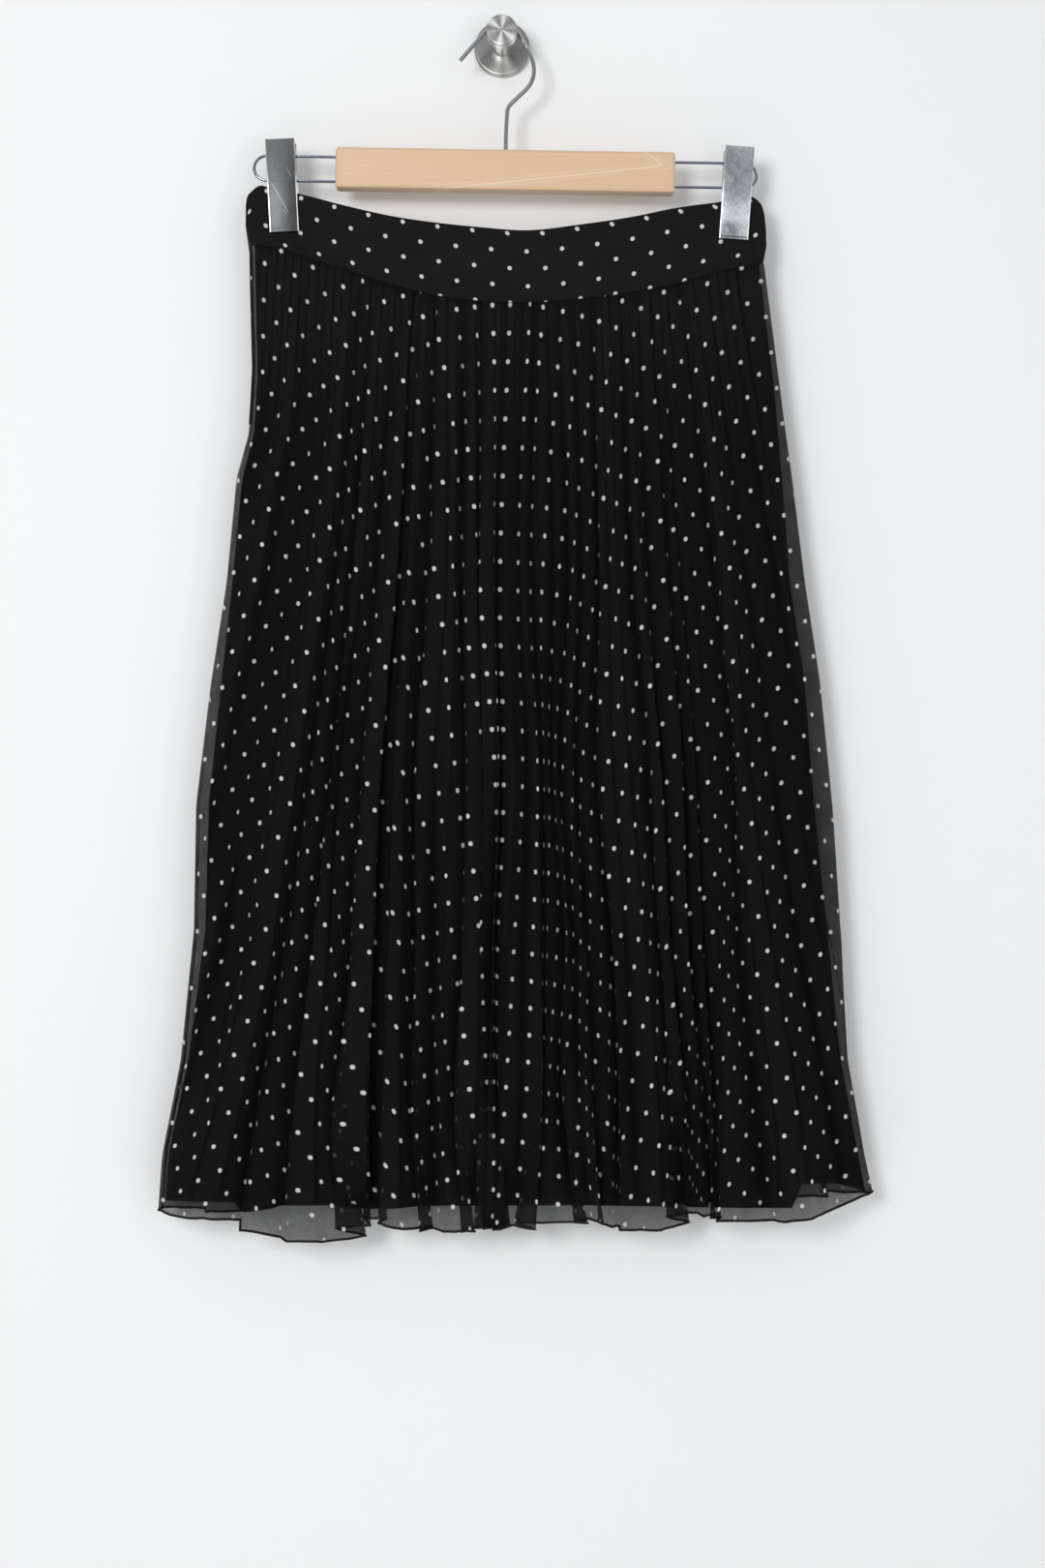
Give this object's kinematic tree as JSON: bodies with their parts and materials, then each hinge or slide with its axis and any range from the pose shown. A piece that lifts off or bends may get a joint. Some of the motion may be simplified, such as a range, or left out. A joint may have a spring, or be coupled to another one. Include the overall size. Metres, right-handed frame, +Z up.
{
  "type": "pleated skirt on a clip hanger",
  "caption": "Black sunray-pleated midi skirt in sheer dotted cloth over a lining, with a shaped waistband, hung by a clip hanger from a round wall knob.",
  "frame": {"origin": "centre of the wall rosette's back face, where it meets the wall", "axes": "+Z up, +Y into the wall, so the skirt's front faces -Y; +X to the right as seen from the front"},
  "size_m": [0.5071, 0.0591, 0.8777],
  "materials": {
    "chiffon": "sheer black chiffon with small off-white dots, sunray pleated, rolled hem",
    "yoke_cloth": "opaque black waistband with small off-white dots",
    "lining_cloth": "plain matt black lining",
    "zip_tape": "black concealed zip",
    "hanger_wood": "light varnished beech",
    "hanger_wire": "chromed wire",
    "clip_sheet": "scratched zinc-plated sheet",
    "wall_hook": "brushed stainless steel"
  },
  "bodies": {
    "root": {"clip_left_front": "clip_sheet", "clip_left_back": "clip_sheet", "clip_right_front": "clip_sheet", "clip_right_back": "clip_sheet", "hanger_bar": "hanger_wood", "hanger_hook": "hanger_wire", "rail_left": "hanger_wire", "rail_right": "hanger_wire", "wall_rosette": "wall_hook", "wall_post": "wall_hook", "wall_knob": "wall_hook", "yoke_front": "yoke_cloth", "yoke_back": "yoke_cloth", "side_zip": "zip_tape", "skirt_front": "chiffon", "skirt_back": "chiffon", "lining_front": "lining_cloth", "lining_back": "lining_cloth"}
  },
  "joints": []
}
